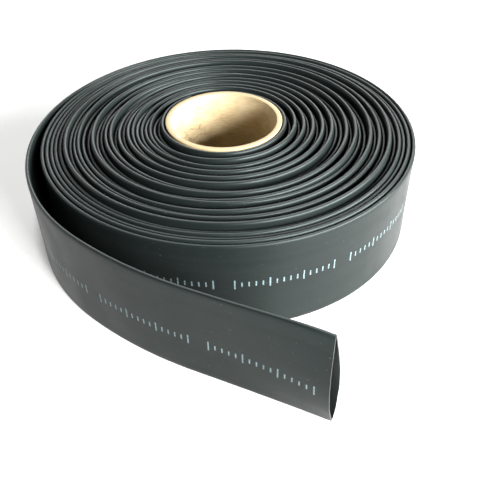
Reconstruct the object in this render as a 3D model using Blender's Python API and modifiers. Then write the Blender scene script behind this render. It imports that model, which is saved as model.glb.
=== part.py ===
"""Roll of flat-wound heat shrink tube on a cardboard core, lying on its end.

One length of thick-walled tube is pressed flat and wound on edge round a
cardboard core. Its last turn has sprung loose: it leaves the roll, runs round
the outside as a tail standing on its folded edge, and ends in an open mouth.
Metres, +Z up, +X along the tail towards its mouth. The origin is the centre of
the footprint, on the floor.
"""
import bpy
from math import cos, pi, radians, sin, tau
from mathutils import Matrix, Vector

# The tube
TUBE_WIDTH = 0.080              # across the flattened tube, so the roll's height
TUBE_WALL = 0.0014              # one layer; the flattened tube is two
TURNS = 28                      # turns in the wound roll
TURN_PITCH = 0.00377            # from one turn to the next, loosely wound
RIDGE_DEPTH = 0.0034            # how far the valley between two level turns lies below their folds
CROWN = 0.0033                  # how much higher the inner turns stand than the outer ones
CROWN_FULL, CROWN_END = 0.80, 0.88      # shares of the winding over which they step down

# The folds are wider than the tube's sides, so every second turn stands high
# and the turns between have slipped down
TURN_DROP = 0.0042              # how far a low turn's upper fold has slipped
OUTER_DROP = 0.0010             # the same in the outermost turns
SECOND_LOW_TURNS = (12, 17)     # turns that lie low right after another low one
FOLD_SPREAD = 0.0009            # how far a high fold spreads over a low neighbour
CREST_WIDTH = 0.0022            # of a high fold, where it is nearly flat
VALLEY_DEEPENING = 0.33         # a valley lies deeper by this share of the step beside it

# The core
CORE_BORE_RADIUS = 0.0449
CORE_WALL = 0.0045
CORE_PROUD = 0.0003             # how far it stands above the turns round it
CORE_CLEARANCE = 0.0003         # between the core and the first turn

# The winding drifts off the core's axis, all in one direction
DRIFT = Vector((0.0060, -0.0036))

# The loose last turn
LEAVE_ANGLE = radians(150)      # where it leaves the roll, round the roll's centre
LOOSE_RADIUS = 0.1729           # outside of the turn after it has left
EASE_HEADING = radians(-17)     # where the turn starts to straighten
EASE_RADIUS = 0.3216
TAIL_STRAIGHT = 0.0986          # straight run, up to the mouth
START_TUCK = 0.0006             # its start lies this far under the roll's outside

# The open mouth
MOUTH_DEPTH = 0.085             # length over which the two layers part
MOUTH_FAR_BOW = 0.0125          # how far the layer on the roll's side bows away
MOUTH_NEAR_BOW = 0.0085         # how far the outer layer bows out
MOUTH_FAR_SKEW = 0.60           # below 1 puts the widest place under mid-height
MOUTH_NEAR_SKEW = 0.76
MOUTH_TILT = 0.0033             # how far the top fold leans back towards the roll
MOUTH_FLARE = 1.6               # above 1 the layers part faster towards the mouth
MOUTH_OPEN_MIN = 0.10           # share of the full gap where the hollow ends
CUT_LEAN = 0.0052               # the cut is this much longer at the floor

# Resolution
ROUND_STEPS = 44
LOOSE_STEPS = 17
EASE_STEPS = 5
MOUTH_STEPS = 6
SECTION_LEVELS = (0.03, 0.14, 0.32, 0.50, 0.68, 0.86, 0.97)

# Worked out from the sizes above
CORE_RADIUS = CORE_BORE_RADIUS + CORE_WALL
CORE_HEIGHT = TUBE_WIDTH + CROWN + CORE_PROUD
ROLL_BORE_RADIUS = CORE_RADIUS + CORE_CLEARANCE
ROLL_RADIUS = ROLL_BORE_RADIUS + TURNS * TURN_PITCH


def clear_scene():
    for obj in list(bpy.data.objects):
        bpy.data.objects.remove(obj)


def new_collection(name):
    collection = bpy.data.collections.new(name)
    bpy.context.scene.collection.children.link(collection)
    return collection


def new_material(name, colour, roughness):
    material = bpy.data.materials.new(name)
    material.use_nodes = True
    shader = material.node_tree.nodes["Principled BSDF"]
    shader.inputs["Base Color"].default_value = (*colour, 1.0)
    shader.inputs["Roughness"].default_value = roughness
    shader.inputs["Metallic"].default_value = 0.0
    return material


def new_object(name, mesh, collection, material=None):
    obj = bpy.data.objects.new(name, mesh)
    collection.objects.link(obj)
    if material:
        mesh.materials.append(material)
    return obj


def evaluated_mesh(obj):
    depsgraph = bpy.context.evaluated_depsgraph_get()
    return bpy.data.meshes.new_from_object(obj.evaluated_get(depsgraph))


def turned_mesh(name, profile):
    """A closed profile of (radius, height) points turned about Z.

    Its first corner is turned to where the loose turn leaves, so that every
    ring of the roll and the core has a corner there.
    """
    mesh = bpy.data.meshes.new(name)
    points = [(radius, 0.0, height) for radius, height in profile]
    edges = [(i, (i + 1) % len(points)) for i in range(len(points))]
    mesh.from_pydata(points, edges, [])
    guide = new_object(name + "_profile", mesh, bpy.context.scene.collection)
    screw = guide.modifiers.new("Turn", "SCREW")
    screw.steps = screw.render_steps = ROUND_STEPS
    screw.use_merge_vertices = True
    screw.merge_threshold = 0.00001
    turned = evaluated_mesh(guide)
    bpy.data.objects.remove(guide)
    turned.transform(Matrix.Rotation(LEAVE_ANGLE, 4, "Z"))
    return turned


def winding_share(radius):
    """How far out in the winding a radius lies, from 0 at the core to 1 at the outside."""
    return (radius - ROLL_BORE_RADIUS) / (ROLL_RADIUS - ROLL_BORE_RADIUS)


def innerness(radius):
    """A smooth step from 1 on the inner turns to 0 on the outermost ones."""
    left = min(max((CROWN_END - winding_share(radius)) / (CROWN_END - CROWN_FULL), 0.0), 1.0)
    return left * left * (3 - 2 * left)


def middle_radius(turn):
    return ROLL_BORE_RADIUS + (turn + 0.5) * TURN_PITCH


def lies_low(turn):
    """Every second turn lies low, and so does each of the second low turns."""
    extra = sum(turn >= second for second in SECOND_LOW_TURNS)
    return (turn + extra) % 2 == 1


def turn_drop(turn):
    """How far a turn's upper fold has slipped below its level."""
    if not lies_low(turn):
        return 0.0
    return OUTER_DROP + (TURN_DROP - OUTER_DROP) * innerness(middle_radius(turn))


def turn_lift(turn):
    """How far a turn's lower fold stands off the floor."""
    return 0.0 if lies_low(turn) else CROWN * innerness(middle_radius(turn))


def valley(turn, set_back):
    """The valley before a turn: its depth, and how much deeper this fold lies than the one before.

    set_back gives how far a turn's fold lies in from the level of that end.
    """
    before, this = set_back(max(turn - 1, 0)), set_back(min(turn, TURNS - 1))
    step = this - before
    return min(before, this) + RIDGE_DEPTH + VALLEY_DEEPENING * abs(step), step


def roll_profile():
    """The wound turns in section: a fold at each turn and a valley between turns, on both ends."""
    top, under = [], []
    for turn in range(TURNS + 1):
        inside = ROLL_BORE_RADIUS + turn * TURN_PITCH
        depth, step = valley(turn, turn_drop)
        top.append((inside + FOLD_SPREAD * step / TURN_DROP, depth))
        under.append((inside, valley(turn, turn_lift)[0]))
        if turn < TURNS:
            middle = middle_radius(turn)
            half = CREST_WIDTH / 2
            crest = [middle] if lies_low(turn) else [middle - half, middle + half]
            top += [(radius, turn_drop(turn)) for radius in crest]
            under.append((middle, turn_lift(turn)))
    top = [(radius, TUBE_WIDTH + CROWN * innerness(radius) - depth) for radius, depth in top]
    return top + list(reversed(under))


def wound_roll():
    """The turned roll, its outer turns moved off the core's axis by the winding's drift."""
    mesh = turned_mesh("wound_roll", roll_profile())
    for vertex in mesh.vertices:
        vertex.co.xy += DRIFT * winding_share(vertex.co.xy.length)
    return mesh


def arc_after(place, heading, radius, turn, steps):
    """Places and headings along an arc that bends to the left, without its start."""
    centre = place + radius * Vector((-sin(heading), cos(heading)))
    stations = []
    for step in range(1, steps + 1):
        angle = heading + turn * step / steps
        stations.append((centre + radius * Vector((sin(angle), -cos(angle))), angle))
    return stations


def tail_route():
    """Stations along the middle of the loose turn: (place, heading, how far the layers have parted)."""
    heading = LEAVE_ANGLE + pi / 2
    outward = Vector((cos(LEAVE_ANGLE), sin(LEAVE_ANGLE)))
    leave = DRIFT + (ROLL_RADIUS - TUBE_WALL) * outward
    eased = tau + EASE_HEADING
    turn = arc_after(leave, heading, LOOSE_RADIUS - TUBE_WALL, eased - heading, LOOSE_STEPS)
    ease = arc_after(turn[-1][0], eased, EASE_RADIUS - TUBE_WALL, tau - eased, EASE_STEPS)
    start = [(leave - START_TUCK * outward, heading)]
    route = [(place, angle, 0.0) for place, angle in start + turn + ease]
    straight_start = ease[-1][0]
    for step in range(MOUTH_STEPS + 1):
        share = step / MOUTH_STEPS
        along = TAIL_STRAIGHT - MOUTH_DEPTH * (1 - share)
        parted = MOUTH_OPEN_MIN + (1 - MOUTH_OPEN_MIN) * share ** MOUTH_FLARE
        route.append((straight_start + Vector((along, 0)), tau, parted))
    return route


def mouth_pinch(parted):
    """How far the folds draw together, so that both bowed layers keep their width (flat arcs)."""
    mean_square = (MOUTH_NEAR_BOW ** 2 + MOUTH_FAR_BOW ** 2) / 2 * parted ** 2
    return 8 / 3 * mean_square / TUBE_WIDTH


def section(place, heading, parted, inset):
    """One closed loop of the tube's section; inset is 0 for its outside, or the wall for its hollow."""
    ahead = Vector((cos(heading), sin(heading)))
    left = Vector((-sin(heading), cos(heading)))
    half = TUBE_WALL - inset
    height = TUBE_WIDTH - mouth_pinch(parted) - 2 * inset
    lean = CUT_LEAN if parted == 1.0 else 0.0

    def corner(level, side):
        amount, skew = (MOUTH_FAR_BOW, MOUTH_FAR_SKEW) if side > 0 else (MOUTH_NEAR_BOW, MOUTH_NEAR_SKEW)
        bow = amount * parted * sin(pi * level ** skew)
        across = (side * (half + bow) if side else 0.0) + MOUTH_TILT * parted * level
        spot = place + left * across + ahead * lean * (0.5 - level)
        return (spot.x, spot.y, inset + level * height)

    near = [corner(level, -1) for level in SECTION_LEVELS]
    far = [corner(level, 1) for level in reversed(SECTION_LEVELS)]
    return [corner(0.0, 0)] + near + [corner(1.0, 0)] + far


def bridge(first, second, count):
    """Quads between two loops of corners that start at the vertex numbers first and second."""
    following = [(i + 1) % count for i in range(count)]
    return [(first + j, first + i, second + i, second + j) for i, j in enumerate(following)]


def loose_turn():
    """The loose turn and its open mouth, lofted through the sections along its route."""
    route = tail_route()
    hollow = [station for station in route if station[2] > 0.0]
    outside = [(station, 0.0) for station in route]
    inside = [(station, TUBE_WALL) for station in reversed(hollow)]
    vertices = []
    for (place, heading, parted), inset in outside + inside:
        vertices += section(place, heading, parted, inset)
    count = 2 * len(SECTION_LEVELS) + 2
    loops = len(vertices) // count
    faces = [tuple(range(count))]
    for loop in range(loops - 1):
        faces += bridge(loop * count, (loop + 1) * count, count)
    faces.append(tuple(reversed(range((loops - 1) * count, loops * count))))
    mesh = bpy.data.meshes.new("loose_turn")
    mesh.from_pydata(vertices, [], faces)
    return mesh


def heat_shrink_tube(collection, guides, material):
    """The one length of tube: the wound roll united with its loose last turn."""
    tube = new_object("heat_shrink_tube", wound_roll(), collection, material)
    loose = new_object("loose_turn_guide", loose_turn(), guides)
    loose.hide_render = True
    loose.display_type = "WIRE"
    union = tube.modifiers.new("Loose turn", "BOOLEAN")
    union.operation = "UNION"
    union.object = loose
    return tube, loose


def cardboard_core(collection, material):
    profile = [
        (CORE_RADIUS, CORE_HEIGHT),
        (CORE_RADIUS, 0.0),
        (CORE_BORE_RADIUS, 0.0),
        (CORE_BORE_RADIUS, CORE_HEIGHT),
    ]
    return new_object("cardboard_core", turned_mesh("cardboard_core", profile), collection, material)


def stand_on_origin(pieces):
    """Parent the pieces to an empty that puts the footprint's centre at the origin."""
    bpy.context.view_layer.update()
    spots = [spot for piece in pieces for spot in piece.bound_box]
    middle = [(min(s[axis] for s in spots) + max(s[axis] for s in spots)) / 2 for axis in (0, 1)]
    base = bpy.data.objects.new("footprint_centre", None)
    bpy.context.scene.collection.objects.link(base)
    base.location = (-middle[0], -middle[1], 0.0)
    for piece in pieces:
        piece.parent = base


def main():
    clear_scene()
    pieces = new_collection("heat_shrink_tube_roll")
    guides = new_collection("guides")
    tube_black = new_material("tube_black", (0.020, 0.024, 0.024), 0.38)
    core_card = new_material("core_card", (0.62, 0.50, 0.36), 0.85)
    tube, loose = heat_shrink_tube(pieces, guides, tube_black)
    core = cardboard_core(pieces, core_card)
    stand_on_origin([tube, loose, core])


main()
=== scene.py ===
from math import cos, pi, radians, sin, tau

import bpy
import numpy as np
from mathutils import Matrix, Vector


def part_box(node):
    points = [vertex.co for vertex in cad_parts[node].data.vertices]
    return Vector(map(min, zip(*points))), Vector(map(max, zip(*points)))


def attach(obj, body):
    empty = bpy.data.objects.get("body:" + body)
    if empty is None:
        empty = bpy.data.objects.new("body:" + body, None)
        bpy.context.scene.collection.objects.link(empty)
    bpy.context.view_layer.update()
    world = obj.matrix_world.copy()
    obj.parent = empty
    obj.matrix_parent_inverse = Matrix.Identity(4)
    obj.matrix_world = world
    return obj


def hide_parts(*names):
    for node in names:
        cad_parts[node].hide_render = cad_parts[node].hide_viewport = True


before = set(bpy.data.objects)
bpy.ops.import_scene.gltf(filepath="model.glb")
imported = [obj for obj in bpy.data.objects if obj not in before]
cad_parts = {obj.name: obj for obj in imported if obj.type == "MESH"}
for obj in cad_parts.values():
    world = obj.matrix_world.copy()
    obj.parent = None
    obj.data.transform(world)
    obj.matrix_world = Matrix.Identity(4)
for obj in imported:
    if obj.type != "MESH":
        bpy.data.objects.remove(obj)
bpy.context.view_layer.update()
core_low, core_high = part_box("cardboard_core")
roll_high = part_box("heat_shrink_tube")[1]


# The view
# The roll is seen from a little to the right of the tail's side, looking down
# on it, with the open end of the tail towards the viewer.
CORE_AXIS = (core_low + core_high).xy / 2
STAND = Vector((0.2168, -0.4347, 0.3578))       # camera from the foot of the core's axis
HEADING, TILT, CANT = radians(23.97), radians(49.02), radians(-0.346)
LENS, SENSOR = 46.47, 36.0                      # both in millimetres

bpy.ops.object.camera_add()
camera = bpy.context.object
camera.name = "camera"
camera.data.lens = LENS
camera.data.sensor_width = SENSOR
camera.data.clip_start = 0.01
turn = Matrix.Rotation(HEADING, 4, "Z") @ Matrix.Rotation(TILT, 4, "X") @ Matrix.Rotation(CANT, 4, "Z")
camera.matrix_world = Matrix.Translation(Vector((*CORE_AXIS, 0.0)) + STAND) @ turn
bpy.context.scene.camera = camera


# The studio
# A table under a white cloth, so bright that it burns out in the picture. A
# large soft window stands to the right and a smaller one at the front right,
# and two walls throw some of their light back.
def plug(tree, slot, value):
    """Link a socket into a slot, or set a plain value on it."""
    if isinstance(value, Sock):
        tree.links.new(value.socket, slot)
    elif slot.type == "RGBA" and len(value) == 3:
        slot.default_value = (*value, 1.0)
    else:
        slot.default_value = value


def add_node(tree, kind, settings, values, out=0):
    """Any shader node: its settings first, then its inputs, each by its name or number."""
    node = tree.nodes.new("ShaderNode" + kind)
    for name, value in settings.items():
        setattr(node, name, value)
    for slot, value in values:
        plug(tree, node.inputs[slot], value)
    return Sock(tree, node.outputs[out])


class Sock:
    """A shader socket that arithmetic can be written on: each operator adds a Math node."""

    def __init__(self, tree, socket):
        self.tree = tree
        self.socket = socket

    def math(self, operation, *values):
        return add_node(self.tree, "Math", {"operation": operation}, enumerate((self, *values)))

    def flipped(self, operation, value):
        return add_node(self.tree, "Math", {"operation": operation}, enumerate((value, self)))

    def __add__(self, other):
        return self.math("ADD", other)

    def __sub__(self, other):
        return self.math("SUBTRACT", other)

    def __mul__(self, other):
        return self.math("MULTIPLY", other)

    def __truediv__(self, other):
        return self.math("DIVIDE", other)

    def __mod__(self, other):
        return self.math("FLOORED_MODULO", other)

    def __pow__(self, other):
        return self.math("POWER", other)

    def __gt__(self, other):
        return self.math("GREATER_THAN", other)

    def __lt__(self, other):
        return self.math("LESS_THAN", other)

    def __abs__(self):
        return self.math("ABSOLUTE")

    def __radd__(self, other):
        return self.flipped("ADD", other)

    def __rsub__(self, other):
        return self.flipped("SUBTRACT", other)

    def __rmul__(self, other):
        return self.flipped("MULTIPLY", other)

    def ramp(self, low, high, to_low=0.0, to_high=1.0):
        """A smooth step from to_low at low to to_high at high."""
        stops = enumerate((self, low, high, to_low, to_high))
        return add_node(self.tree, "MapRange", {"interpolation_type": "SMOOTHSTEP"}, stops)


class Finish:
    """A material under construction, with its Principled shader."""

    def __init__(self, name, **constants):
        self.material = bpy.data.materials.new(name)
        self.material.use_nodes = True
        self.tree = self.material.node_tree
        self.shader = self.tree.nodes["Principled BSDF"]
        self.set(**constants)

    def set(self, **inputs):
        for name, value in inputs.items():
            plug(self.tree, self.shader.inputs[name.replace("_", " ")], value)

    def node(self, kind, out=0, **inputs):
        """A node that needs no settings, with its inputs by name, and _ for a space."""
        values = [(name.replace("_", " "), value) for name, value in inputs.items()]
        return add_node(self.tree, kind, {}, values, out)

    def mix(self, factor, first, second):
        """A blend of two colours, which are inputs 6 and 7 and output 2 of a Mix node."""
        values = ((0, factor), (6, first), (7, second))
        return add_node(self.tree, "Mix", {"data_type": "RGBA"}, values, out=2)

    def noise(self, vector, scale, detail=3.0):
        return self.node("TexNoise", Vector=vector, Scale=scale, Detail=detail)

    def place(self, vector, **inputs):
        return self.node("Mapping", Vector=vector, **inputs)

    def split(self, vector):
        node = self.tree.nodes.new("ShaderNodeSeparateXYZ")
        plug(self.tree, node.inputs[0], vector)
        return [Sock(self.tree, out) for out in node.outputs]

    def join(self, x, y, z=0.0):
        return self.node("CombineXYZ", X=x, Y=y, Z=z)

    def bump(self, height, distance, strength):
        return self.node("Bump", Height=height, Distance=distance, Strength=strength)


BLACK, WHITE = (0.0, 0.0, 0.0), (1.0, 1.0, 1.0)
TO_CORE = (-CORE_AXIS.x, -CORE_AXIS.y, 0.0)     # centres a pattern on the core
OBJECT_SPACE = 3                                # output of a Texture Coordinate node
TABLE_SIDE = 8.0
UNDER_ROLL, CLEAR_OF_ROLL = 0.160, 0.178        # from the core's axis: the cloth's glow fades out here, a painted shadow under and beside the roll
GLARE, ALL_WHITE = 0.8, 1.6                     # far out the cloth is lost in white
ROOM_LIGHT = 0.05                               # what the white room itself gives

bpy.ops.object.select_all(action="DESELECT")
bpy.ops.mesh.primitive_plane_add(size=TABLE_SIDE, location=(0, 0, 0))
table = bpy.context.object
table.name = "table"
cloth = Finish("white_cloth", Roughness=0.9, Emission_Strength=1.0)
cloth_spot = cloth.node("TexCoord", out=OBJECT_SPACE)
nap = cloth.noise(cloth_spot, 900.0, 2.0)
shade = cloth.noise(cloth_spot, 6.0)
warp = cloth.noise(cloth.place(cloth_spot, Scale=(500.0, 60.0, 1.0)), 1.0, 1.0)
weft = cloth.noise(cloth.place(cloth_spot, Scale=(60.0, 500.0, 1.0)), 1.0, 1.0)
white = cloth.mix(shade, (0.46, 0.46, 0.45), (0.50, 0.50, 0.49))
white = cloth.mix((warp + weft).ramp(0.8, 1.2), white, (0.52, 0.52, 0.51))
right, back = cloth.split(cloth.place(cloth_spot, Location=TO_CORE))[:2]
from_core = (right * right + back * back) ** 0.5
# The cloth's glow is taken away under the roll and close beside it: a painted shadow.
glow_and_painted_shadow = cloth.mix(from_core.ramp(UNDER_ROLL, CLEAR_OF_ROLL), BLACK, (0.54, 0.54, 0.536))
glow_and_painted_shadow = cloth.mix(from_core.ramp(GLARE, ALL_WHITE), glow_and_painted_shadow, WHITE)
cloth.set(Base_Color=white, Emission_Color=glow_and_painted_shadow, Normal=cloth.bump(nap, 0.0004, 0.5))
table.data.materials.append(cloth.material)

room = bpy.data.worlds.new("white_room")
bpy.context.scene.world = room
room.use_nodes = True
air = room.node_tree.nodes["Background"].inputs
seen = add_node(room.node_tree, "LightPath", {}, (), out="Is Camera Ray")
plug(room.node_tree, air["Color"], WHITE)
plug(room.node_tree, air["Strength"], seen.ramp(0.0, 1.0, ROOM_LIGHT, 1.0))
bpy.context.scene.view_settings.view_transform = "Standard"

ROLL_MIDDLE = Vector((0, 0, 0.05))


def window_light(name, place, size, watts):
    """A soft rectangle of light that faces the roll."""
    bpy.ops.object.light_add(type="AREA", location=place)
    lamp = bpy.context.object
    lamp.name = name
    lamp.data.shape = "RECTANGLE"
    lamp.data.size, lamp.data.size_y = size
    lamp.data.energy = watts
    lamp.rotation_euler = (ROLL_MIDDLE - Vector(place)).to_track_quat("-Z", "Y").to_euler()


window_light("window", (1.60, 0.12, 0.60), (1.6, 0.8), 184.0)
window_light("front_window", (1.00, -0.65, 0.50), (0.40, 0.35), 47.0)
window_light("left_wall", (-1.50, -0.30, 0.60), (1.6, 0.8), 10.0)
window_light("back_wall", (-0.50, 1.50, 0.60), (1.6, 0.8), 22.0)


# The heat shrink tube
# One length of thick-walled black tube, pressed flat between rollers so that
# its two layers touch, then wound on edge. It is flat along its sides and
# springs round at its two folds, which make the ridges on the roll's ends.
MM = 0.001
WALL = 1.4 * MM
WIDTH = 80 * MM                                 # across the flattened tube
CROWN = roll_high.z - WIDTH                     # the inner turns stand this much higher
CROWN_FULL, CROWN_END = 0.80, 0.88              # shares of the winding over which they step down
CORE_RADIUS = (core_high.x - core_low.x) / 2
CORE_GAP = 0.3 * MM
TURNS = 28
PITCH = 3.77 * MM
LAST_RADIUS = CORE_RADIUS + CORE_GAP + TURNS * PITCH - WALL    # to the middle of the last turn
DRIFT = np.array((6.0 * MM, -3.6 * MM))         # the winding runs off the core's axis
LEAVE = radians(150)                            # where the loose turn leaves the roll
STEP_OVER = radians(80)                         # a turn climbs onto the next over this arc
STEPS_A_TURN = 112


def climb(share):
    """A smooth step from 0 to 1."""
    share = np.clip(share, 0.0, 1.0)
    return share * share * (3 - 2 * share)


def wound_route():
    """Places along the middle of the wound turns, from the core out, with the turns wound so far."""
    steps = TURNS * STEPS_A_TURN
    wound = np.arange(steps + 1) / STEPS_A_TURN
    angle = LEAVE + tau * wound
    whole = np.floor(wound)
    climbed = np.maximum(whole - 1 + climb((wound - whole) * tau / STEP_OVER), 0)
    return wound, angle, LAST_RADIUS - (TURNS - 1 - climbed) * PITCH


def arc(start, heading, radius, bend, steps):
    """Places along an arc that bends left, without its start."""
    turned = heading + bend * np.arange(1, steps + 1) / steps
    centre = start + radius * np.array((-sin(heading), cos(heading)))
    return centre + radius * np.stack((np.sin(turned), -np.cos(turned)), axis=1)


def ripple(wound, cycles, seed):
    """A smooth random wave along the tube, about -1 to 1, from waves with these cycles a turn."""
    random = np.random.default_rng(seed)
    waves = [np.sin(tau * (c * wound + random.random())) for c in cycles]
    weights = [random.uniform(0.6, 1.0) for _ in cycles]
    return sum(w * wave for w, wave in zip(weights, waves)) / sum(weights)


def beside(values, turns):
    """The same quantity one turn further out or in, held at the ends."""
    shift = turns * STEPS_A_TURN
    index = np.clip(np.arange(len(values)) + shift, 0, len(values) - 1)
    return values[index]


wound, wound_angle, wound_radius = wound_route()
held = climb(wound / 0.8) * climb(TURNS - wound)    # nothing shifts at the winding's two ends
share = (wound_radius - wound_radius[0]) / (LAST_RADIUS - wound_radius[0])
rise = CROWN * climb((CROWN_END - share) / (CROWN_END - CROWN_FULL))

# The sprung folds are wider than the tube's sides, so they have no room level
# with each other: every second turn stands high and those between have slipped
# down. The two change places where each turn passes the loose one, and again
# through the middle of the winding.
SWAP = radians(205)
PAIRED_FROM, PAIRED_TO, PAIRED_EASE = 0.36, 0.66, 0.12     # shares of the winding
MEAN_SLIP, SLIP_SWING, SLIP_UNEVEN = 3.2, 2.7, 0.7         # in millimetres
LEAST_SLIP, MOST_SLIP, LAST_SLIP = 0.1, 7.0, 0.2           # in millimetres
CALM_FROM, CALM_EASE, CALM = 0.82, 0.05, 0.75              # the outermost turns slip less
paired = climb((PAIRED_TO - share) / PAIRED_EASE) * climb((share - PAIRED_FROM) / PAIRED_EASE)
passed = wound - (SWAP - LEAVE) / tau + paired + 0.10 * ripple(wound, (0.37, 0.23), 3)
alternate = np.tanh(2.0 * np.sin(pi * passed))
uneven = 1.9 * ripple(wound, (0.31, 0.36, 0.42), 5) + 0.7 * ripple(wound, (1.3, 0.8), 6)
outermost = climb((share - CALM_FROM) / CALM_EASE)
slipped = np.clip(MEAN_SLIP - SLIP_SWING * alternate + SLIP_UNEVEN * uneven, LEAST_SLIP, MOST_SLIP)
slipped = slipped * (1 - CALM * outermost)
slipped = (slipped * held + LAST_SLIP * climb(share / 0.9)) * MM

# Where the turns are bunched or loose, a fold has less or more room to spring
# round, and one that stands clear of both its neighbours springs widest.
NARROW_FOLD, WIDE_FOLD = 2.95 * MM, 3.4 * MM
FOLD_GAP = 0.1 * MM
SPRING = 0.4                                    # in millimetres
SPRING_CLEAR = 4.2 * MM                         # a fold this far above its neighbours has it all
bunched = 0.40 * ripple(wound, (0.19, 0.23), 7) + 0.14 * ripple(wound, (0.46, 0.9), 8)
wound_radius = wound_radius + bunched * held * MM
room_beside = np.minimum(beside(wound_radius, 1) - wound_radius, wound_radius - beside(wound_radius, -1))
room_beside[wound < 1] = room_beside[wound > TURNS - 1] = PITCH
sunk = slipped - rise
stands_clear = np.minimum(beside(sunk, 1), beside(sunk, -1)) - sunk
fold_width = np.clip(room_beside - FOLD_GAP, NARROW_FOLD, WIDE_FOLD)
fold_width = fold_width + SPRING * climb(stands_clear / SPRING_CLEAR) * MM

# The last turn has sprung loose: it runs wide of the roll, eases out of its
# curve in front, and goes on straight to the cut.
LOOSE_RADIUS, LOOSE_STEPS = 172.9 * MM, 60
EASE_HEADING, EASE_RADIUS, EASE_STEPS = radians(-17), 321.6 * MM, 20
TAIL_STRAIGHT, TAIL_STEPS = 98.6 * MM, 24
spread = np.stack((np.cos(wound_angle), np.sin(wound_angle)), axis=1)
wound_places = np.array(CORE_AXIS) + DRIFT * share[:, None] + wound_radius[:, None] * spread
heading = LEAVE + pi / 2
loose_bend = tau + EASE_HEADING - heading
loose = arc(wound_places[-1], heading, LOOSE_RADIUS - WALL, loose_bend, LOOSE_STEPS)
ease = arc(loose[-1], EASE_HEADING, EASE_RADIUS - WALL, -EASE_HEADING, EASE_STEPS)
run = TAIL_STRAIGHT * np.arange(1, TAIL_STEPS + 1) / TAIL_STEPS
straight = ease[-1] + np.stack((run, 0 * run), axis=1)
places = np.concatenate((wound_places, loose, ease, straight))

# The tail's end was cut a little askew, and its two layers part and bow there.
MOUTH_DEPTH, MOUTH_FLARE = 85 * MM, 1.9         # how far back they part, and how fast
NEAR_BOW, FAR_BOW = 8.5 * MM, 12.5 * MM
NEAR_SKEW, FAR_SKEW = 0.76, 0.60                # under 1, a layer bows most below its middle
MOUTH_TILT = 3.3 * MM                           # the cut's top leans in towards the roll
CUT_LEAN, LEAN_DEPTH = 5.2 * MM, 20 * MM        # its foot stands further along than its top
HOLLOW_FROM = 0.04                              # parted less than this, the layers count as shut

count = len(places)
extra = count - len(wound_places)
slip = np.concatenate((slipped, np.full(extra, slipped[-1])))
lifted = np.concatenate((rise, np.zeros(extra)))
fold = np.concatenate((fold_width, np.linspace(fold_width[-1], NARROW_FOLD, extra)))
left_to_cut = TAIL_STRAIGHT - np.concatenate((np.zeros(count - TAIL_STEPS), run))
parted = np.clip(1 - left_to_cut / MOUTH_DEPTH, 0, 1) ** MOUTH_FLARE

ahead = np.gradient(places, axis=0)
ahead /= np.linalg.norm(ahead, axis=1)[:, None]
outward = np.stack((ahead[:, 1], -ahead[:, 0]), axis=1)
lengths = np.concatenate(((0.0,), np.cumsum(np.linalg.norm(np.diff(places, axis=0), axis=1))))


def section(index, inset):
    """Corners round the tube at some stations, as (stations, corners, 3); inset moves them inwards.

    Each fold is a drop: a round crest, its widest place a little way in, and a
    long neck down to where the two layers lie together. A layer that bows
    draws the crest down.
    """
    widest = fold[index] / 2
    shut = 8 / 3 * (NEAR_BOW ** 2 + FAR_BOW ** 2) / 2 / WIDTH * parted[index] ** 2
    top = WIDTH + lifted[index] - slip[index] - shut - inset
    bottom = np.maximum(lifted[index] - slip[index], 0.0) + inset
    drop = [
        (0.42 * widest, 0.12 * widest),
        (0.75 * widest, 0.45 * widest),
        (0.95 * widest, 1.10 * widest),
        (widest, 2.6 * widest),
        (WALL + 0.40 * (widest - WALL), 2.6 * widest + 4.5 * MM),
        (WALL + 0.08 * (widest - WALL), 2.6 * widest + 10.0 * MM),
    ]
    side = [(out, bottom + depth) for out, depth in drop[:4]]
    side += [(np.full(len(index), WALL), bottom + part * (top - bottom)) for part in (0.24, 0.45, 0.66)]
    side += [(out, top - depth) for out, depth in reversed(drop)]
    across = np.stack([np.maximum(out - inset, 0.0) for out, _ in side], axis=1)
    height = np.stack([up for _, up in side], axis=1)
    level = np.clip((height - bottom[:, None]) / (top - bottom)[:, None], 0, 1)
    opened = parted[index][:, None]
    foot = np.zeros((len(index), 1))
    tilt = MOUTH_TILT * opened * level
    near = across + NEAR_BOW * opened * np.sin(pi * level ** NEAR_SKEW) - tilt
    far = -across - FAR_BOW * opened * np.sin(pi * level ** FAR_SKEW) - tilt
    offset = np.concatenate((foot, near, foot - MOUTH_TILT * opened, far[:, ::-1]), axis=1)
    lift = np.concatenate((bottom[:, None], height, top[:, None], height[:, ::-1]), axis=1)
    lean = CUT_LEAN * (0.5 - lift / WIDTH) * climb(1 - left_to_cut[index] / LEAN_DEPTH)[:, None]
    flat = places[index][:, None, :] + outward[index][:, None, :] * offset[..., None]
    flat = flat + ahead[index][:, None, :] * lean[..., None]
    return np.concatenate((flat, lift[..., None]), axis=2)


# One sheet of faces is rolled into the tube: from the end of the hollow out to
# the cut along its inside, then back along its outside to the start.
hollow = np.flatnonzero(parted > HOLLOW_FROM)
rows = np.concatenate((section(hollow, WALL), section(np.arange(count)[::-1], 0.0)))
rows = np.concatenate((rows, rows[:, :1]), axis=1)
row_count, column_count = rows.shape[:2]

bpy.ops.mesh.primitive_grid_add(x_subdivisions=row_count - 1, y_subdivisions=column_count - 1, size=2)
tube = bpy.context.object
tube.name = "wound_tube"
grid = np.zeros(row_count * column_count * 3)
tube.data.vertices.foreach_get("co", grid)
grid = grid.reshape(-1, 3)
row = np.rint((grid[:, 0] + 1) / 2 * (row_count - 1)).astype(int)
column = np.rint((grid[:, 1] + 1) / 2 * (column_count - 1)).astype(int)
tube.data.vertices.foreach_set("co", rows[row, column].ravel())

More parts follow.
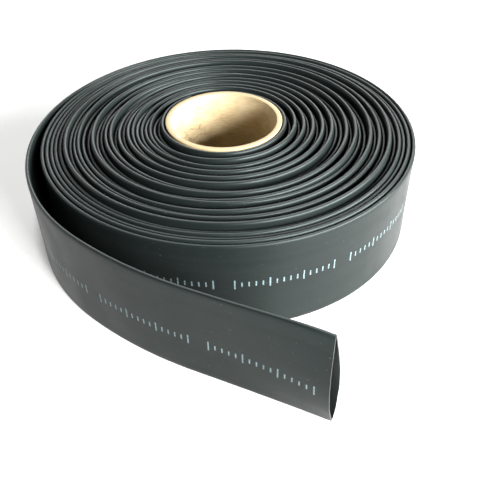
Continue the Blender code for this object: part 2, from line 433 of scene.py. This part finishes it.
INSIDE_CHART = 1.0                              # the inside lies this far past the cut on the chart
girth = np.concatenate(((0.0,), np.cumsum(np.linalg.norm(np.diff(rows[-1], axis=0), axis=1))))
row_length = np.concatenate((lengths[hollow] + INSIDE_CHART, lengths[::-1]))
corner = np.zeros(len(tube.data.loops), int)
tube.data.loops.foreach_get("vertex_index", corner)
chart = np.stack((row_length[row[corner]], girth[column[corner]]), axis=1)
tube.data.uv_layers.active.data.foreach_set("uv", chart.ravel())

bpy.ops.object.mode_set(mode="EDIT")
bpy.ops.mesh.select_all(action="SELECT")
bpy.ops.mesh.remove_doubles(threshold=1e-7)
bpy.ops.mesh.fill_holes(sides=0)
bpy.ops.mesh.select_all(action="SELECT")
bpy.ops.mesh.normals_make_consistent(inside=False)
bpy.ops.object.mode_set(mode="OBJECT")
bpy.ops.object.shade_smooth_by_angle(angle=radians(50))

# The plastic is satin black, with faint streaks along it and a little dust, and is smoother on its
# folds.
# Each fold's crest is paler, partly from wear and partly as a painted highlight.
HALF_GIRTH = float(girth[-1]) / 2
CREST_EDGE, CREST_FULL = HALF_GIRTH / 2 - 3.6 * MM, HALF_GIRTH / 2 - 1.6 * MM
PALE_CREST_EDGE, PALE_CREST_FULL = HALF_GIRTH / 2 - 1.1 * MM, HALF_GIRTH / 2 - 0.3 * MM
satin = Finish("satin_black_tube", Specular_IOR_Level=0.18, Specular_Tint=(0.86, 1.0, 0.97))
chart_uv = satin.node("UVMap")
along, round_tube = satin.split(chart_uv)[:2]
from_side = abs((round_tube / HALF_GIRTH) % 1.0 - 0.5) * HALF_GIRTH
crest = from_side.ramp(CREST_EDGE, CREST_FULL)
wear_and_painted_highlight = from_side.ramp(PALE_CREST_EDGE, PALE_CREST_FULL)
tube_spot = satin.node("TexCoord", out=OBJECT_SPACE)
streak = satin.noise(satin.place(chart_uv, Scale=(3.0, 260.0, 1.0)), 1.0)
blotch = satin.noise(tube_spot, 35.0, 4.0)
grit = satin.noise(tube_spot, 2600.0, 2.0)
dust = satin.noise(tube_spot, 900.0, 1.0) > 0.78
body = satin.mix(streak, (0.0040, 0.0058, 0.0056), (0.0086, 0.0114, 0.0109))
body = satin.mix(dust * 0.25, body, (0.30, 0.31, 0.31))
# The paler crest line: partly wear, partly a painted highlight.
body = satin.mix(wear_and_painted_highlight * 0.8, body, (0.036, 0.042, 0.041))

# Plain pale strokes are printed along one side, in runs with a gap between
# them: every fifth stroke is longer, and the ink is partly worn off.
MARK_STEP, MARK_WIDE = 5 * MM, 1.1 * MM
MARKED_RUN, UNMARKED = 90 * MM, 11 * MM         # from one run to the next, and the gap
SHORT_HALF, LONG_EXTRA = 2.2 * MM, 2.0 * MM     # half of a short mark, and what a long one adds
TAIL_PRINT, ROLL_PRINT = 34 * MM, 45 * MM       # the line's height by the cut, and on the roll
from_cut = float(lengths[-1]) - along
inside = from_cut < 0.0
in_run = (from_cut + MARK_STEP / 2) % MARKED_RUN
short_mark = abs(in_run % MARK_STEP - MARK_STEP / 2) < MARK_WIDE / 2
long_mark = abs(in_run % (5 * MARK_STEP) - 2.5 * MARK_STEP) < MARK_WIDE / 2
printed_at = from_cut.ramp(0.50, 0.85, TAIL_PRINT, ROLL_PRINT)
reach = abs(round_tube - printed_at) < long_mark * LONG_EXTRA + SHORT_HALF
ink = short_mark * reach * (in_run > UNMARKED) * (1 - inside)
worn = satin.noise(tube_spot, 1500.0, 2.0).ramp(0.35, 0.60, 0.25, 0.80)
body = satin.mix(ink * worn, body, (0.17, 0.235, 0.245))
# The tube's inside is painted darker than its outside: painted shade in the hollow.
body = satin.mix(inside, body, (0.0015, 0.0022, 0.0021))
satin.set(Base_Color=body, Roughness=blotch.ramp(0.3, 0.7, 0.38, 0.46) - crest * 0.04)
satin.set(Normal=satin.bump(grit, 0.00006, 0.35))
tube.data.materials.append(satin.material)
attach(tube, "root")
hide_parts("heat_shrink_tube")


# The core
# A tube of spirally wound brown board, cut off square, with slightly worn
# edges. The cut rim is pale, and the plies' seam runs up the bore as a faint
# spiral line.
BOARD = 4.5 * MM
BEVEL = 0.5 * MM

bpy.ops.object.select_all(action="DESELECT")
bpy.ops.mesh.primitive_cylinder_add(
    vertices=192,
    radius=CORE_RADIUS,
    depth=core_high.z - core_low.z,
    end_fill_type="NOTHING",
    location=(*CORE_AXIS, core_high.z / 2),
)
core = bpy.context.object
core.name = "board_core"
wall = core.modifiers.new("Wall", "SOLIDIFY")
wall.thickness = BOARD
wall.offset = -1.0
edge = core.modifiers.new("Worn edge", "BEVEL")
edge.width = BEVEL
edge.segments = 3
edge.limit_method = "ANGLE"
edge.angle_limit = radians(40)
bpy.ops.object.modifier_apply(modifier="Wall")
bpy.ops.object.modifier_apply(modifier="Worn edge")
bpy.ops.object.transform_apply(location=True, rotation=True, scale=True)
bpy.ops.object.shade_smooth_by_angle(angle=radians(50))

PLY_WIDTH, PLY_START = 72 * MM, 14 * MM         # along the core, from one seam to the next
board = Finish("brown_board", Roughness=0.75)
board_spot = board.node("TexCoord", out=OBJECT_SPACE)
x, y, z = board.split(board.place(board_spot, Location=TO_CORE))
distance = (x * x + y * y) ** 0.5
around = y.math("ARCTAN2", x) / tau             # in turns, -0.5 to 0.5
along_ply = (z - around * (3 * PLY_WIDTH) + PLY_START) % PLY_WIDTH
seam = along_ply.ramp(0.0, 0.7 * MM, 1.0, 0.0)
seam = seam + along_ply.ramp(PLY_WIDTH - 0.5 * MM, PLY_WIDTH)
fibres = board.noise(board.join(around * 40.0, z * 900.0, distance * 500.0), 1.0, 4.0)
clouds = board.noise(board_spot, 60.0, 4.0)
fuzz = board.noise(board_spot, 1400.0)
paper = board.mix(fibres.ramp(0.3, 0.7), (0.28, 0.208, 0.106), (0.375, 0.290, 0.160))
paper = board.mix(clouds.ramp(0.35, 0.75, 0.0, 0.45), paper, (0.46, 0.38, 0.25))
paper = board.mix(seam * 0.40, paper, (0.20, 0.12, 0.05))

# The bore is scratched at the left, about half-way up, and flecked with dark
# fibres all over.
SCRATCHED_AT, SCRATCHED_UP = 0.43, 49 * MM
lines = board.noise(board.join(around * 34.0 + z * 40.0, z * 110.0), 1.0)
scratched = abs(around - SCRATCHED_AT).ramp(0.03, 0.05, 1.0, 0.0)
scratched = scratched * abs(z - SCRATCHED_UP).ramp(7 * MM, 11 * MM, 1.0, 0.0)
scratches = (abs(lines - 0.5) < 0.016) * scratched
flecks = board.noise(board_spot, 420.0, 1.0) > 0.76
paper = board.mix(scratches * 0.7 + flecks * 0.4, paper, (0.10, 0.055, 0.025))

# The two cut ends show the edges of the plies. At the front of the top one a
# chip of paper is torn off the inner edge, and there is a dark nick beside it.
CUT_SOFT, CUT_CLEAR = 0.30 * MM, 0.05 * MM      # the cut's colour fades over this depth
TORN_AT, NICK_AT = 0.327, 0.256                 # in turns, clockwise from the right
plies = board.noise(board.join(around * 6.0, distance * 2600.0), 1.0, 2.0)
cut = board.mix(plies.ramp(0.35, 0.65), (0.32, 0.243, 0.130), (0.42, 0.325, 0.190))
rim = z.ramp(core_high.z - CUT_SOFT, core_high.z - CUT_CLEAR)
rim = rim + z.ramp(CUT_CLEAR, CUT_SOFT, 1.0, 0.0)
torn = abs(around + TORN_AT).ramp(0.004, 0.009, 1.0, 0.0)
torn = torn * distance.ramp(45.9 * MM, 46.7 * MM, 1.0, 0.0)
torn = torn * z.ramp(core_high.z - 3.5 * MM, core_high.z - 2.5 * MM)
nick = abs(around + NICK_AT).ramp(0.002, 0.005, 1.0, 0.0)
nick = nick * distance.ramp(45.2 * MM, 45.8 * MM, 1.0, 0.0)
nick = nick * z.ramp(core_high.z - 1.6 * MM, core_high.z - 0.9 * MM)
card = board.mix(rim, paper, cut)
card = board.mix(nick * 0.7, card, (0.15, 0.09, 0.045))
card = board.mix(torn, card, (0.80, 0.77, 0.70))
board.set(Base_Color=card, Roughness=fuzz.ramp(0.3, 0.7, 0.62, 0.85))
board.set(Normal=board.bump(fuzz + fibres * 0.5 - seam * 0.8, 0.00015, 0.6))
core.data.materials.append(board.material)
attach(core, "root")
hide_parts("cardboard_core")
